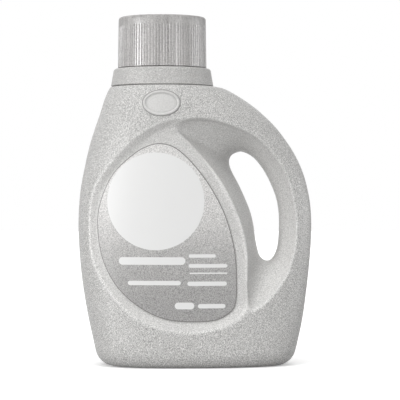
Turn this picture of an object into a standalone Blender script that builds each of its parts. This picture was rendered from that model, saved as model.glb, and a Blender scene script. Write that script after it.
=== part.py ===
"""Laundry detergent bottle: blow-moulded bottle with a through handle and dished label
panels, press-on pour spout with a drain-back gutter, screw-on dosing cap, front label.

Metres, +Z up. The front faces -Y and the handle is on the +X side. The origin is on the
ground, under the middle of the outline.
"""
import math

import bmesh
import bpy
from mathutils import Vector

MM = 0.001

# Bottle body
BODY_HEIGHT = 193.1 * MM        # ground to the flat of the shoulder
REACH_LEFT = 58.2 * MM          # neck axis to the side opposite the handle
REACH_RIGHT = 103.8 * MM        # neck axis to the outside of the handle
BODY_DEPTH = 87.0 * MM          # front to back
MIDDLE_SHIFT = 8.0 * MM         # how far the deepest line lies from the neck axis
BOTTLE_WALL = 1.2 * MM
BASE_RADIUS = 10.0 * MM         # rounding between the sides and the standing ring
STANDING_RING = 7.0 * MM        # width of the flat ring that touches the ground
PUSH_UP = 4.0 * MM              # height of the hollow inside the ring
PUSH_UP_RUN = 9.0 * MM          # width of the slope up to that hollow

# Neck finish under the collar
NECK_RADIUS = 30.6 * MM
SHOULDER_LAND = 0.6 * MM        # round flat of the shoulder outside the collar's foot
NECK_WALL = 1.6 * MM
SNAP_BEAD = 0.7 * MM            # ring round the neck that the collar clips over
SNAP_HEIGHT = 3.2 * MM          # shoulder to the underside of that ring
SNAP_LENGTH = 2.4 * MM

# Label panels, front and back
PANEL_RECESS = 4.2 * MM
PANEL_WALL_RUN = 6.5 * MM       # width of the slope round the panel

# Gaps between separate pieces
FIT = 0.3 * MM                  # pieces that touch
THREAD_GAP = 0.5 * MM           # between the cup wall and the collar's thread wall
OVERRUN = 2.0 * MM              # how far a cutter passes the face that it cuts

# Pour spout; its outer skirt is the collar under the cap
COLLAR_HEIGHT = 12.5 * MM
COLLAR_TOP_STEP = 3.3 * MM      # neck's side to the collar's side, at its top
COLLAR_FOOT_STEP = 5.0 * MM     # and at its foot
COLLAR_EDGE = 2.0 * MM          # rounding of the collar's top edge
COLLAR_LAND = 1.6 * MM          # thickness over the neck's rim
SPOUT_WALL = 1.3 * MM
GUTTER_DEPTH = 20.5 * MM        # collar's top to the gutter at the neck axis
GUTTER_SLOPE = 0.12             # fall towards the drain slot
TUBE_RADIUS = 16.4 * MM
TUBE_SHIFT = 2.0 * MM           # the tube stands nearer the pouring side
TUBE_RISE = 12.0 * MM           # collar's top to the tube's mouth at the neck axis
TUBE_SLANT = 0.38               # the mouth is higher on the pouring side
LIP_FLARE = 1.0 * MM
LIP_LENGTH = 4.5 * MM
DRAIN_WIDTH = 7.0 * MM

# Dosing cap
CAP_STEP = 3.1 * MM             # collar's side, at its top, back to the foot of the cap's ribs
CAP_HEIGHT = 35.7 * MM          # collar's top to the cap's top
CAP_WALL = 1.4 * MM
CAP_TOP_THICKNESS = 1.8 * MM
CAP_DRAFT = 0.5 * MM            # the ribbed skirt is narrower by this at its top
CAP_EDGE = 1.8 * MM             # rounding of the top edge
CAP_BAND = 5.8 * MM             # plain band above the ribs
RIB_COUNT = 90
RIB_DEPTH = 0.4 * MM
RIB_RUN_OUT = 0.6 * MM          # the grooves fade into the band over this height
CUP_SKIRT = 12.5 * MM           # how far the cup reaches down into the collar
CUP_DRAFT = 1.2 * MM            # the cup is narrower by this at its closed end
FILL_LINE = 0.4 * MM            # raised dosing lines inside the cup
FILL_LINE_WIDTH = 0.8 * MM
FILL_LINE_SHARES = (0.36, 0.62)

# Front label
LABEL_THICKNESS = 0.3 * MM

# Numbers of faces
BODY_SEGMENTS = 56
BODY_LEVELS = 21
INSIDE_SEGMENTS = 36
INSIDE_LEVELS = 15
ROUND_SEGMENTS = 45
CORNER_STEPS = 3
CRISP_ANGLE = math.radians(32)  # edges sharper than this are shaded as edges

# Sizes that follow from those above
BODY_WIDTH = REACH_LEFT + REACH_RIGHT
NECK_X = (REACH_LEFT - REACH_RIGHT) / 2
NECK_HEIGHT = COLLAR_HEIGHT - COLLAR_LAND - FIT
NECK_BORE = NECK_RADIUS - NECK_WALL
COLLAR_TOP_RADIUS = NECK_RADIUS + COLLAR_TOP_STEP
COLLAR_FOOT_RADIUS = NECK_RADIUS + COLLAR_FOOT_STEP
SHOULDER_RADIUS = COLLAR_FOOT_RADIUS + SHOULDER_LAND
CAP_RADIUS = COLLAR_TOP_RADIUS - CAP_STEP
THREAD_BORE = NECK_BORE - FIT - SPOUT_WALL
CUP_RADIUS = THREAD_BORE - THREAD_GAP

# Outline tables. Heights are shares of BODY_HEIGHT, from the shoulder down. A reach of 0
# is the round shoulder flat and a reach of 1 is the widest point on that side.
LEFT_REACH_SHARES = (
    (1.0, 0.0), (0.967, 0.136), (0.935, 0.234), (0.899, 0.331), (0.844, 0.497),
    (0.79, 0.644), (0.718, 0.79), (0.627, 0.936), (0.519, 1.0), (0.41, 0.967),
    (0.302, 0.873), (0.193, 0.716), (0.085, 0.513), (0.0, 0.35))
RIGHT_REACH_SHARES = (
    (1.0, 0.0), (0.995, 0.085), (0.982, 0.167), (0.953, 0.306), (0.917, 0.446),
    (0.862, 0.613), (0.808, 0.735), (0.754, 0.833), (0.682, 0.923), (0.591, 0.983),
    (0.501, 1.0), (0.392, 0.985), (0.266, 0.947), (0.157, 0.902), (0.0, 0.8))
DEPTH_REACH_SHARES = (
    (1.0, 0.0), (0.985, 0.25), (0.96, 0.45), (0.92, 0.66), (0.86, 0.84), (0.75, 0.97),
    (0.6, 1.0), (0.4, 1.0), (0.2, 0.93), (0.05, 0.8), (0.0, 0.74))
MIDDLE_SHARES = ((1.0, 0.0), (0.9, 0.35), (0.75, 0.8), (0.5, 1.0), (0.0, 1.2))
SQUARENESS_SHARES = ((1.0, 2.0), (0.9, 2.1), (0.6, 2.2), (0.2, 2.4), (0.0, 2.6))
TAPER_SHARES = (
    (1.0, 0.0), (0.93, 0.12), (0.8, 0.3), (0.6, 0.38), (0.3, 0.32), (0.1, 0.2), (0.0, 0.15))

# Closed outlines seen from the front, clockwise: shares of BODY_WIDTH from the middle and
# of BODY_HEIGHT from the ground. The points of the recess and the hole go together in
# pairs, and so do those of the panel and the label.
HANDLE_HOLE_SHARES = (
    (0.201, 0.767), (0.246, 0.749), (0.289, 0.707), (0.326, 0.649), (0.351, 0.589),
    (0.36, 0.519), (0.354, 0.432), (0.335, 0.389), (0.315, 0.376), (0.298, 0.378),
    (0.276, 0.396), (0.261, 0.446), (0.251, 0.504), (0.233, 0.562), (0.194, 0.638),
    (0.156, 0.7), (0.147, 0.73), (0.154, 0.75), (0.171, 0.761), (0.186, 0.765))
HANDLE_RECESS_SHARES = (
    (0.183, 0.847), (0.264, 0.813), (0.337, 0.752), (0.391, 0.677), (0.421, 0.591),
    (0.432, 0.512), (0.423, 0.416), (0.383, 0.32), (0.303, 0.237), (0.233, 0.204),
    (0.218, 0.273), (0.222, 0.372), (0.209, 0.464), (0.18, 0.542), (0.121, 0.644),
    (0.043, 0.729), (-0.045, 0.806), (-0.095, 0.852), (-0.02, 0.88), (0.081, 0.875))
PANEL_SHARES = (
    (-0.062, 0.878), (0.009, 0.817), (0.051, 0.73), (0.114, 0.641), (0.177, 0.533),
    (0.211, 0.422), (0.218, 0.309), (0.218, 0.227), (0.182, 0.176), (0.102, 0.143),
    (-0.028, 0.127), (-0.15, 0.145), (-0.247, 0.18), (-0.327, 0.239), (-0.395, 0.317),
    (-0.438, 0.405), (-0.445, 0.502), (-0.433, 0.616), (-0.37, 0.704), (-0.28, 0.79),
    (-0.179, 0.85))
LABEL_SHARES = (
    (-0.134, 0.791), (-0.078, 0.775), (-0.011, 0.725), (0.067, 0.639), (0.131, 0.533),
    (0.168, 0.415), (0.176, 0.309), (0.172, 0.231), (0.146, 0.196), (0.085, 0.17),
    (-0.022, 0.165), (-0.123, 0.174), (-0.217, 0.208), (-0.296, 0.258), (-0.354, 0.32),
    (-0.396, 0.403), (-0.412, 0.511), (-0.396, 0.596), (-0.342, 0.688), (-0.254, 0.757),
    (-0.188, 0.786))

# Depth of the panel's rim under the body's surface, as shares of PANEL_RECESS, for the
# points of PANEL_SHARES: the rim is lower where the panel meets the handle's recess.
PANEL_RIM_SHARES = (0.0, 0.9, 0.65, 0.45, 0.4, 0.4, 0.4, 0.4, 0.1) + (0.0,) * 12

# The recess from its rim to the hole's edge: share of the way in, share of the rim's depth.
RECESS_PROFILE_SHARES = (
    (0.0, 1.0), (0.08, 0.89), (0.35, 0.71), (0.62, 0.53), (0.83, 0.36), (0.94, 0.2), (1.0, 0.0))
# The panel's slope is a cove: share of its run, share of its depth. Where the label comes
# close, the slope's run is a share of the way to it.
PANEL_COVE_SHARES = (0.5, 0.56)
PANEL_RUN_SHARE = 0.85
# The panel's floor and the label are rings that shrink towards their middle.
SHRINK_SHARES = (0.7, 0.3)


def smooth_value(table, place):
    """Value of a table of (place, value) pairs on a smooth curve through its points."""
    points = sorted(table)
    index = 0
    while index < len(points) - 2 and place > points[index + 1][0]:
        index += 1

    def slope(at):
        low = points[max(at - 1, 0)]
        high = points[min(at + 1, len(points) - 1)]
        return (high[1] - low[1]) / (high[0] - low[0])

    (start, first), (end, last) = points[index], points[index + 1]
    run = end - start
    t = (place - start) / run
    return (first * (1 + 2 * t) * (1 - t) ** 2 + last * t * t * (3 - 2 * t)
            + run * t * (1 - t) * ((1 - t) * slope(index) - t * slope(index + 1)))


def closed_curve(points, steps):
    """Smooth closed curve through points, with a number of steps from each to the next."""
    curve = []
    count = len(points)
    for index, point in enumerate(points):
        before, after, beyond = points[index - 1], points[(index + 1) % count], points[(index + 2) % count]
        for step in range(steps):
            t = step / steps
            bend = 2 * before - 5 * point + 4 * after - beyond
            twist = 3 * point - before - 3 * after + beyond
            curve.append(point + ((after - before) * t + bend * t * t + twist * t ** 3) / 2)
    return curve


def outline(shares, steps):
    """Closed outline seen from the front, from a table of shares."""
    corners = [Vector((across * BODY_WIDTH, 0, up * BODY_HEIGHT)) for across, up in shares]
    return closed_curve(corners, steps)


def section(height):
    """Left reach, right reach and half depth from the deepest line, that line's place,
    and the squareness and taper of the body's section at a height."""
    share = min(max(height / BODY_HEIGHT, 0), 1)
    middle = MIDDLE_SHIFT * smooth_value(MIDDLE_SHARES, share)
    left = SHOULDER_RADIUS + (REACH_LEFT - SHOULDER_RADIUS) * smooth_value(LEFT_REACH_SHARES, share)
    right = SHOULDER_RADIUS + (REACH_RIGHT - SHOULDER_RADIUS) * smooth_value(RIGHT_REACH_SHARES, share)
    deep = SHOULDER_RADIUS + (BODY_DEPTH / 2 - SHOULDER_RADIUS) * smooth_value(DEPTH_REACH_SHARES, share)
    squareness = smooth_value(SQUARENESS_SHARES, share)
    taper = smooth_value(TAPER_SHARES, share)
    return left + middle, right - middle, deep, NECK_X + middle, squareness, taper


def section_loop(height, inset, segments):
    """One level ring of the body, drawn in from its sides by inset."""
    left, right, deep, middle, squareness, taper = section(height)
    loop = []
    for index in range(segments):
        turn = 2 * math.pi * index / segments
        across = math.copysign(abs(math.cos(turn)) ** (2 / squareness), math.cos(turn))
        deepness = math.copysign(abs(math.sin(turn)) ** (2 / squareness), math.sin(turn))
        reach = right if across > 0 else left
        narrowing = 1 - taper * max(across, 0) ** 2
        loop.append(Vector((middle + (reach - inset) * across,
                            (deep - inset) * deepness * narrowing, height)))
    return loop


def half_depth(x, z):
    """Distance of the body's surface from the mid-plane at a point seen from the front."""
    left, right, deep, middle, squareness, taper = section(z)
    share = min(abs(x - middle) / (right if x > middle else left), 1)
    narrowing = 1 - taper * share ** 2 if x > middle else 1
    return deep * (1 - share ** squareness) ** (1 / squareness) * narrowing


def body_loops(segments, levels):
    """Level rings of the body from the hollow of the base up to the shoulder."""
    loops = []
    for height, inset in ((PUSH_UP, BASE_RADIUS + STANDING_RING + PUSH_UP_RUN),
                          (0, BASE_RADIUS + STANDING_RING)):
        loops.append(section_loop(height, inset, segments))
    for step in range(CORNER_STEPS):
        turn = math.pi / 2 * step / CORNER_STEPS
        height = BASE_RADIUS * (1 - math.cos(turn))
        loops.append(section_loop(height, BASE_RADIUS * (1 - math.sin(turn)), segments))
    for level in range(levels):
        share = 1 - (1 - level / (levels - 1)) ** 1.4
        height = BASE_RADIUS + (BODY_HEIGHT - BASE_RADIUS) * share
        loops.append(section_loop(height, 0, segments))
    return loops


def offset_loops(loops, distance):
    """The same rings, moved along the normals of the surface that they make."""
    moved = []
    for row, loop in enumerate(loops):
        before = loops[max(row - 1, 0)]
        after = loops[min(row + 1, len(loops) - 1)]
        ring = []
        for index, point in enumerate(loop):
            along = loop[(index + 1) % len(loop)] - loop[index - 1]
            normal = along.cross(after[index] - before[index]).normalized()
            ring.append(point + normal * distance)
        moved.append(ring)
    return moved


def ring_at(radius, height, segments):
    """Level circle round the neck axis, in the body's frame."""
    turns = [2 * math.pi * index / segments for index in range(segments)]
    return [Vector((NECK_X + radius * math.cos(turn), radius * math.sin(turn), height)) for turn in turns]


def panel_loops(steps):
    """Rings of the cutter for the front label panel, from outside the body inwards."""
    corners = []
    for (across, up), rim in zip(PANEL_SHARES, PANEL_RIM_SHARES):
        x, z = across * BODY_WIDTH, up * BODY_HEIGHT
        corners.append(Vector((x, rim * PANEL_RECESS - half_depth(x, z), z)))
    rim = closed_curve(corners, steps)
    floor = []
    for edge, inner in zip(rim, outline(LABEL_SHARES, steps)):
        flat = Vector((inner.x - edge.x, 0, inner.z - edge.z))
        run = min(PANEL_WALL_RUN, flat.length * PANEL_RUN_SHARE)
        floor.append(on_panel(edge + flat.normalized() * run, 0))
    run_share, depth_share = PANEL_COVE_SHARES
    cove = [edge + Vector(((foot.x - edge.x) * run_share, (foot.y - edge.y) * depth_share,
                           (foot.z - edge.z) * run_share)) for edge, foot in zip(rim, floor)]
    flared = [edge + (edge - foot).normalized() * OVERRUN for edge, foot in zip(rim, cove)]
    outside = [Vector((point.x, -BODY_DEPTH / 2 - OVERRUN, point.z)) for point in flared]
    return [outside, flared, rim, cove, floor] + shrunk_loops(floor, 0)


def on_panel(point, lift):
    """The point moved straight to the panel's floor, or to a lift above it."""
    return Vector((point.x, PANEL_RECESS - lift - half_depth(point.x, point.z), point.z))


def shrunk_loops(loop, lift):
    """Smaller rings on the panel inside a ring."""
    middle = sum(loop, Vector()) / len(loop)
    return [[on_panel(middle + (point - middle) * share, lift) for point in loop]
            for share in SHRINK_SHARES]


def recess_loops(steps):
    """Rings of the cutter for the handle: a spool that is narrowest at the mid-plane."""
    rim = outline(HANDLE_RECESS_SHARES, steps)
    hole = outline(HANDLE_HOLE_SHARES, steps)
    front = []
    for way_in, depth_share in RECESS_PROFILE_SHARES:
        front.append([Vector((edge.x + (inner.x - edge.x) * way_in,
                              -half_depth(edge.x, edge.z) * depth_share,
                              edge.z + (inner.z - edge.z) * way_in))
                      for edge, inner in zip(rim, hole)])
    flared = []
    for edge, inner in zip(front[0], front[1]):
        flared.append(edge + (edge - inner).normalized() * OVERRUN)
    outside = [Vector((point.x, -BODY_DEPTH / 2 - OVERRUN, point.z)) for point in flared]
    front = [outside, flared] + front
    back = [[Vector((point.x, -point.y, point.z)) for point in loop] for loop in reversed(front[:-1])]
    return front + back


def skin(bm, loops):
    """Faces between rings, each of which has as many points as the next, or a multiple."""
    rows = [[bm.verts.new(point) for point in loop] for loop in loops]
    for low, high in zip(rows, rows[1:]):
        count = min(len(low), len(high))
        low_step, high_step = len(low) // count, len(high) // count
        for index in range(count):
            lower = [low[(index * low_step + step) % len(low)] for step in range(low_step + 1)]
            upper = [high[(index * high_step + step) % len(high)] for step in range(high_step + 1)]
            bm.faces.new(lower + upper[::-1])
    return rows


def new_object(name, bm, material, parent=None):
    """Object from a bmesh, with its faces pointing out and its round sides smooth."""
    bmesh.ops.recalc_face_normals(bm, faces=bm.faces)
    mesh = bpy.data.meshes.new(name)
    bm.to_mesh(mesh)
    bm.free()
    mesh.shade_smooth()
    mesh.set_sharp_from_angle(angle=CRISP_ANGLE)
    mesh.materials.append(material)
    obj = bpy.data.objects.new(name, mesh)
    bpy.context.collection.objects.link(obj)
    obj.parent = parent
    return obj


def closed_form(name, loops, material):
    """Solid skinned over rings, with its first and last ring filled."""
    bm = bmesh.new()
    rows = skin(bm, loops)
    bm.faces.new(rows[0])
    bm.faces.new(rows[-1])
    return new_object(name, bm, material)


def cutter(name, loops, material):
    """Solid that only cuts another."""
    obj = closed_form(name, loops, material)
    obj.hide_render = True
    obj.display_type = 'WIRE'
    return obj


def cut(target, tool):
    """Boolean difference that stays on the target as a modifier."""
    modifier = target.modifiers.new(tool.name, 'BOOLEAN')
    modifier.operation = 'DIFFERENCE'
    modifier.solver = 'EXACT'
    modifier.object = tool


def keep_edges_crisp(obj):
    """Modifier after the cuts that shades across shallow edges only."""
    nodes = bpy.data.node_groups.new('crisp_edges', 'GeometryNodeTree')
    nodes.interface.new_socket('Geometry', in_out='INPUT', socket_type='NodeSocketGeometry')
    nodes.interface.new_socket('Geometry', in_out='OUTPUT', socket_type='NodeSocketGeometry')
    source = nodes.nodes.new('NodeGroupInput')
    result = nodes.nodes.new('NodeGroupOutput')
    angle = nodes.nodes.new('GeometryNodeInputMeshEdgeAngle')
    shallow = nodes.nodes.new('FunctionNodeCompare')
    shallow.operation = 'LESS_EQUAL'
    shallow.inputs['B'].default_value = CRISP_ANGLE
    shade = nodes.nodes.new('GeometryNodeSetShadeSmooth')
    shade.domain = 'EDGE'
    nodes.links.new(source.outputs['Geometry'], shade.inputs['Geometry'])
    nodes.links.new(angle.outputs['Unsigned Angle'], shallow.inputs['A'])
    nodes.links.new(shallow.outputs['Result'], shade.inputs['Shade Smooth'])
    nodes.links.new(shade.outputs['Geometry'], result.inputs['Geometry'])
    obj.modifiers.new('crisp_edges', 'NODES').node_group = nodes


def mirrored(loops):
    """The same rings on the other side of the mid-plane."""
    return [[Vector((point.x, -point.y, point.z)) for point in loop] for loop in loops]


def plastic(name, colour, roughness):
    """Moulded plastic or printed film with one colour."""
    material = bpy.data.materials.new(name)
    material.use_nodes = True
    shader = material.node_tree.nodes['Principled BSDF']
    shader.inputs['Base Color'].default_value = (*colour, 1)
    shader.inputs['Roughness'].default_value = roughness
    shader.inputs['Metallic'].default_value = 0
    return material


def make_bottle(material):
    """Hollow bottle: the outer form less the panels, the handle's spool and its inside."""
    outer = body_loops(BODY_SEGMENTS, BODY_LEVELS)
    bead_low = BODY_HEIGHT + SNAP_HEIGHT
    bead_high = bead_low + SNAP_LENGTH
    for radius, height in ((NECK_RADIUS, BODY_HEIGHT), (NECK_RADIUS, bead_low),
                           (NECK_RADIUS + SNAP_BEAD, bead_low + SNAP_BEAD),
                           (NECK_RADIUS + SNAP_BEAD, bead_high - SNAP_BEAD),
                           (NECK_RADIUS, bead_high), (NECK_RADIUS, BODY_HEIGHT + NECK_HEIGHT)):
        outer.append(ring_at(radius, height, BODY_SEGMENTS))
    bottle = closed_form('bottle', outer, material)

    inner = offset_loops(body_loops(INSIDE_SEGMENTS, INSIDE_LEVELS), -BOTTLE_WALL)
    inner[-1] = ring_at(SHOULDER_RADIUS - BOTTLE_WALL, BODY_HEIGHT - BOTTLE_WALL, INSIDE_SEGMENTS)
    for height in (BODY_HEIGHT - BOTTLE_WALL, BODY_HEIGHT + NECK_HEIGHT + OVERRUN):
        inner.append(ring_at(NECK_BORE, height, INSIDE_SEGMENTS))
    inside = cutter('bottle_inside', inner, material)

    panel, coarse_panel = panel_loops(2), offset_loops(panel_loops(1), BOTTLE_WALL)
    spool, coarse_spool = recess_loops(3), offset_loops(recess_loops(2), BOTTLE_WALL)
    cut(inside, cutter('front_panel_inside', coarse_panel, material))
    cut(inside, cutter('back_panel_inside', mirrored(coarse_panel), material))
    cut(inside, cutter('handle_inside', coarse_spool, material))
    cut(bottle, cutter('handle_recess', spool, material))
    cut(bottle, cutter('front_panel', panel, material))
    cut(bottle, cutter('back_panel', mirrored(panel), material))
    cut(bottle, inside)
    keep_edges_crisp(bottle)
    return bottle


def make_label(material):
    """Thin film on the front panel's floor, a FIT clear of it."""
    edge = outline(LABEL_SHARES, 2)
    loops = []
    for lift in (FIT, FIT + LABEL_THICKNESS):
        rings = [[on_panel(point, lift) for point in edge]] + shrunk_loops(edge, lift)
        loops += rings[::-1] if lift == FIT else rings
    return closed_form('front_label', loops, material)


def turned_loop(radius, height, segments, shift=0, slope=0):
    """Circle round the local axis, shifted away from +X and sloped along it."""
    loop = []
    for index in range(segments):
        turn = 2 * math.pi * index / segments
        x = radius * math.cos(turn) - shift
        loop.append(Vector((x, radius * math.sin(turn), height - slope * x)))
    return loop


def corner(radius, height, rounding):
    """Profile points round an outer top corner, from its side to its top."""
    points = []
    for step in range(CORNER_STEPS + 1):
        turn = math.pi / 2 * step / CORNER_STEPS
        points.append((radius - rounding * (1 - math.cos(turn)),
                       height - rounding * (1 - math.sin(turn))))
    return points


def make_spout(material, parent):
    """Drain-back pour spout, turned about the neck axis from the shoulder up."""
    skirt_bore = NECK_RADIUS + SNAP_BEAD + FIT
    lip_bore = NECK_RADIUS + FIT
    lip_top = SNAP_HEIGHT - FIT
    plug_radius = NECK_BORE - FIT
    gutter = COLLAR_HEIGHT - GUTTER_DEPTH
    under_gutter = gutter - SPOUT_WALL
    mouth = COLLAR_HEIGHT + TUBE_RISE
    below_lip = mouth - LIP_LENGTH
    tube_bore = TUBE_RADIUS - SPOUT_WALL

    level = [(lip_bore, FIT), (COLLAR_FOOT_RADIUS, FIT)]
    level += corner(COLLAR_TOP_RADIUS, COLLAR_HEIGHT, COLLAR_EDGE)
    level.append((THREAD_BORE, COLLAR_HEIGHT))
    loops = [turned_loop(radius, height, ROUND_SEGMENTS) for radius, height in level]
    loops.append(turned_loop(THREAD_BORE, gutter, ROUND_SEGMENTS, slope=GUTTER_SLOPE))
    loops.append(turned_loop(TUBE_RADIUS, gutter, ROUND_SEGMENTS, TUBE_SHIFT, GUTTER_SLOPE))
    for radius, height in ((TUBE_RADIUS, below_lip), (TUBE_RADIUS + LIP_FLARE, mouth),
                           (tube_bore + LIP_FLARE, mouth), (tube_bore, below_lip)):
        loops.append(turned_loop(radius, height, ROUND_SEGMENTS, TUBE_SHIFT, TUBE_SLANT))
    loops.append(turned_loop(tube_bore, under_gutter, ROUND_SEGMENTS, TUBE_SHIFT, GUTTER_SLOPE))
    loops.append(turned_loop(plug_radius, under_gutter, ROUND_SEGMENTS, slope=GUTTER_SLOPE))
    for radius, height in ((plug_radius, COLLAR_HEIGHT - COLLAR_LAND),
                           (skirt_bore, COLLAR_HEIGHT - COLLAR_LAND),
                           (skirt_bore, lip_top), (lip_bore, lip_top)):
        loops.append(turned_loop(radius, height, ROUND_SEGMENTS))

    bm = bmesh.new()
    rows = [[bm.verts.new(point) for point in loop] for loop in loops]
    for low, high in zip(rows, rows[1:] + rows[:1]):
        for index in range(ROUND_SEGMENTS):
            beside = (index + 1) % ROUND_SEGMENTS
            bm.faces.new((low[index], low[beside], high[beside], high[index]))
    spout = new_object('pour_spout', bm, material, parent)

    slot_floor = gutter - GUTTER_SLOPE * (TUBE_RADIUS - TUBE_SHIFT) + FIT
    slot_start = TUBE_RADIUS - TUBE_SHIFT - SPOUT_WALL - OVERRUN
    slot_end = TUBE_RADIUS - TUBE_SHIFT + LIP_FLARE + OVERRUN
    slot = [[Vector((x, y, z)) for x, y in ((slot_start, -DRAIN_WIDTH / 2), (slot_end, -DRAIN_WIDTH / 2),
                                            (slot_end, DRAIN_WIDTH / 2), (slot_start, DRAIN_WIDTH / 2))]
            for z in (slot_floor, mouth)]
    tool = cutter('drain_slot', slot, material)
    tool.parent = parent
    cut(spout, tool)
    keep_edges_crisp(spout)
    return spout


def cap_radius(height):
    """Radius of the cap's ribs at a height over the shoulder: the skirt narrows upwards."""
    return CAP_RADIUS - CAP_DRAFT * (height - COLLAR_HEIGHT) / CAP_HEIGHT


def make_cap(material, parent):
    """Dosing cap: ribbed outer skirt, top plate and the cup that screws into the collar."""
    foot = COLLAR_HEIGHT + FIT
    top = COLLAR_HEIGHT + CAP_HEIGHT
    rib_top = top - CAP_BAND
    skirt_bore = cap_radius(top) - RIB_DEPTH - CAP_WALL
    ceiling = top - CAP_TOP_THICKNESS
    mouth = COLLAR_HEIGHT - CUP_SKIRT
    cup_bore = CUP_RADIUS - CAP_WALL

    outside = [turned_loop(radius, height, RIB_COUNT)
               for radius, height in corner(cap_radius(top), top, CAP_EDGE)[::-1]]
    outside.append(turned_loop(cap_radius(rib_top), rib_top, RIB_COUNT))
    outside.append(rib_loop(rib_top - RIB_RUN_OUT))
    outside.append(rib_loop(foot))
    inside = [turned_loop(radius, height, ROUND_SEGMENTS) for radius, height in (
        (skirt_bore, foot), (skirt_bore, ceiling), (CUP_RADIUS - CUP_DRAFT, ceiling),
        (CUP_RADIUS, COLLAR_HEIGHT), (CUP_RADIUS, mouth), (cup_bore, mouth))]
    for share in FILL_LINE_SHARES:
        height = mouth + (ceiling - mouth) * share
        bore = cup_bore - CUP_DRAFT * share
        for radius, rise in ((bore, 0), (bore - FILL_LINE, FILL_LINE_WIDTH / 2), (bore, FILL_LINE_WIDTH)):
            inside.append(turned_loop(radius, height + rise, ROUND_SEGMENTS))
    inside.append(turned_loop(cup_bore - CUP_DRAFT, ceiling, ROUND_SEGMENTS))

    bm = bmesh.new()
    rows = skin(bm, outside + inside)
    bm.faces.new(rows[0])
    bm.faces.new(rows[-1])
    return new_object('measuring_cap', bm, material, parent)


def rib_loop(height):
    """Ring of the cap's ribbed skirt: four points for each rib and the groove beside it."""
    loop = []
    crest = cap_radius(height)
    for rib in range(RIB_COUNT):
        for share, radius in ((0.0, crest - RIB_DEPTH), (0.3, crest - RIB_DEPTH), (0.5, crest), (0.8, crest)):
            turn = 2 * math.pi * (rib + share) / RIB_COUNT
            loop.append(Vector((radius * math.cos(turn), radius * math.sin(turn), height)))
    return loop


def clear_scene():
    for obj in list(bpy.data.objects):
        bpy.data.objects.remove(obj, do_unlink=True)


def main():
    clear_scene()
    body_plastic = plastic('body_plastic', (0.60, 0.59, 0.58), 0.42)
    fitment_plastic = plastic('fitment_plastic', (0.56, 0.55, 0.54), 0.38)
    cap_plastic = plastic('cap_plastic', (0.46, 0.45, 0.44), 0.4)
    label_film = plastic('label_film', (0.44, 0.43, 0.42), 0.5)

    neck_axis = bpy.data.objects.new('neck_axis', None)
    neck_axis.location = (NECK_X, 0, BODY_HEIGHT)
    bpy.context.collection.objects.link(neck_axis)

    make_bottle(body_plastic)
    make_label(label_film)
    make_spout(fitment_plastic, neck_axis)
    make_cap(cap_plastic, neck_axis)


main()
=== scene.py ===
"""Looks of the laundry detergent bottle: a blow-moulded grain-finished bottle with dished
panels and a through handle, a ribbed dosing cap, a drain-back spout and a printed label.

Metres, +Z up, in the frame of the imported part: the front faces -Y, the handle is at +X.
"""
import math

import bmesh
import bpy
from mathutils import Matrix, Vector
from mathutils.kdtree import KDTree


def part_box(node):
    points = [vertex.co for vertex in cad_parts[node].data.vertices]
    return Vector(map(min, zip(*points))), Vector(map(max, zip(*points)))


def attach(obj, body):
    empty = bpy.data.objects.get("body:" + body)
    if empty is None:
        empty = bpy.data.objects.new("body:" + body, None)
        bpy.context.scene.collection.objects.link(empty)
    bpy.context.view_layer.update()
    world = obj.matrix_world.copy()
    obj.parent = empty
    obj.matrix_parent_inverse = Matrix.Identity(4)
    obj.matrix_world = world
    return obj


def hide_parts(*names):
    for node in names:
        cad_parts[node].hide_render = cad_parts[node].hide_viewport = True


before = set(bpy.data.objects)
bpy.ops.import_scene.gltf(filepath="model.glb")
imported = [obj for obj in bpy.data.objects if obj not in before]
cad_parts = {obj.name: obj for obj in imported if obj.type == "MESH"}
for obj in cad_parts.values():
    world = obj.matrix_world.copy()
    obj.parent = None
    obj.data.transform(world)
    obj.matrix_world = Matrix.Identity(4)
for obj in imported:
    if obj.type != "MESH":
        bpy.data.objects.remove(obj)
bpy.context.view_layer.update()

MM = 0.001

# Bottle body
BODY_HEIGHT = 193.1 * MM
REACH_LEFT = 58.2 * MM
REACH_RIGHT = 103.8 * MM
BODY_DEPTH = 87.0 * MM
MIDDLE_SHIFT = 8.0 * MM
BASE_RADIUS = 10.0 * MM
STANDING_RING = 7.0 * MM
PUSH_UP = 4.0 * MM
PUSH_UP_RUN = 9.0 * MM
HIDDEN_WALL = 2.4 * MM          # the inside only shows through the neck
PANEL_RECESS = 4.2 * MM
PANEL_WALL_RUN = 6.5 * MM
OVERRUN = 2.0 * MM
LEVEL_CROWDING = 1.4            # above 1, the body's levels lie closer at the shoulder

# Neck, spout and cap
NECK_RADIUS = 30.6 * MM
NECK_WALL = 1.6 * MM
SHOULDER_LAND = 0.6 * MM
FIT = 0.3 * MM
THREAD_GAP = 0.5 * MM
COLLAR_HEIGHT = 12.5 * MM
COLLAR_TOP_STEP = 3.3 * MM
COLLAR_FOOT_STEP = 5.0 * MM
COLLAR_EDGE = 2.0 * MM
COLLAR_CHAMFER = 0.5 * MM
COLLAR_LAND = 1.6 * MM
SPOUT_WALL = 1.3 * MM
GUTTER_DEPTH = 20.5 * MM
GUTTER_SLOPE = 0.12
TUBE_RADIUS = 16.4 * MM
TUBE_SHIFT = 2.0 * MM
TUBE_RISE = 12.0 * MM
TUBE_SLANT = 0.38
LIP_FLARE = 1.0 * MM
LIP_LENGTH = 4.5 * MM
DRAIN_WIDTH = 7.0 * MM
CAP_STEP = 3.1 * MM
CAP_HEIGHT = 35.7 * MM
CAP_WALL = 1.4 * MM
CAP_TOP_THICKNESS = 1.8 * MM
CAP_DRAFT = 0.5 * MM
CAP_EDGE = 1.8 * MM
CAP_BAND = 5.8 * MM
CAP_DISH = 0.5 * MM
TOP_MIDDLE = 2.0 * MM           # radius of the face in the middle of the cap's top
RIB_COUNT = 90
RIB_DEPTH = 0.4 * MM
RIB_RUN_OUT = 1.2 * MM
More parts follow.
